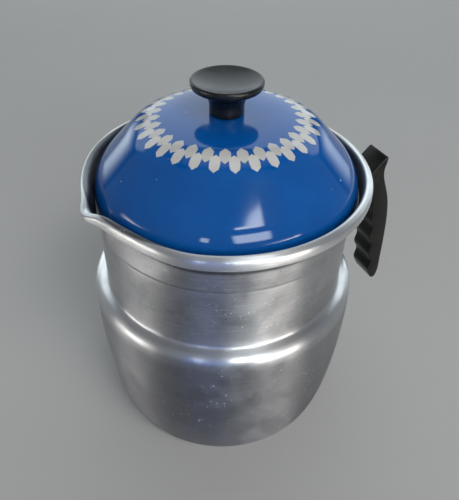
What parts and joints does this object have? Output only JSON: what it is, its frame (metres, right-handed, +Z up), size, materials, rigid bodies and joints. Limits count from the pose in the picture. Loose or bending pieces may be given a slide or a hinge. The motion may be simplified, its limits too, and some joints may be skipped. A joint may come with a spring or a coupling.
{
  "type": "stovetop coffee pot",
  "caption": "Spun aluminium stovetop coffee or milk pot with a waisted body, pressed pouring lip, riveted bakelite handle and lift-off enamelled lid with knob.",
  "frame": {"origin": "centre of the underside of the base", "axes": "+Z up along the pot's axis, +X towards the handle, the pouring lip near -X"},
  "size_m": [0.1927, 0.1497, 0.2029],
  "materials": {
    "spun_aluminium": "worn bright spun aluminium with fine turning lines",
    "strap_steel": "satin pressed steel",
    "rivet_aluminium": "satin",
    "handle_bakelite": "moulded black bakelite, worn semi-gloss",
    "insert_brass": "turned brass",
    "screw_steel": "zinc plated",
    "washer_steel": "zinc plated",
    "blue_enamel": "gloss blue enamel with a ring of pale leaves",
    "knob_bakelite": "moulded black bakelite, satin gloss",
    "seal_fibre": "vulcanised fibre"
  },
  "bodies": {
    "pot": {"pot_shell": "spun_aluminium", "handle_bracket": "strap_steel", "bracket_rivet_upper": "rivet_aluminium", "bracket_rivet_lower": "rivet_aluminium", "handle_grip": "handle_bakelite", "handle_insert": "insert_brass", "handle_screw": "screw_steel", "handle_washer": "washer_steel"},
    "lid": {"lid_shell": "blue_enamel", "lid_knob": "knob_bakelite", "knob_insert": "insert_brass", "knob_screw": "screw_steel", "knob_washer": "washer_steel", "knob_seal": "seal_fibre"}
  },
  "joints": [
    {"name": "lid_lift", "type": "slide", "parent": "pot", "child": "lid", "axis": [0, 0, 1], "range_m": [0, 0.11]}
  ]
}
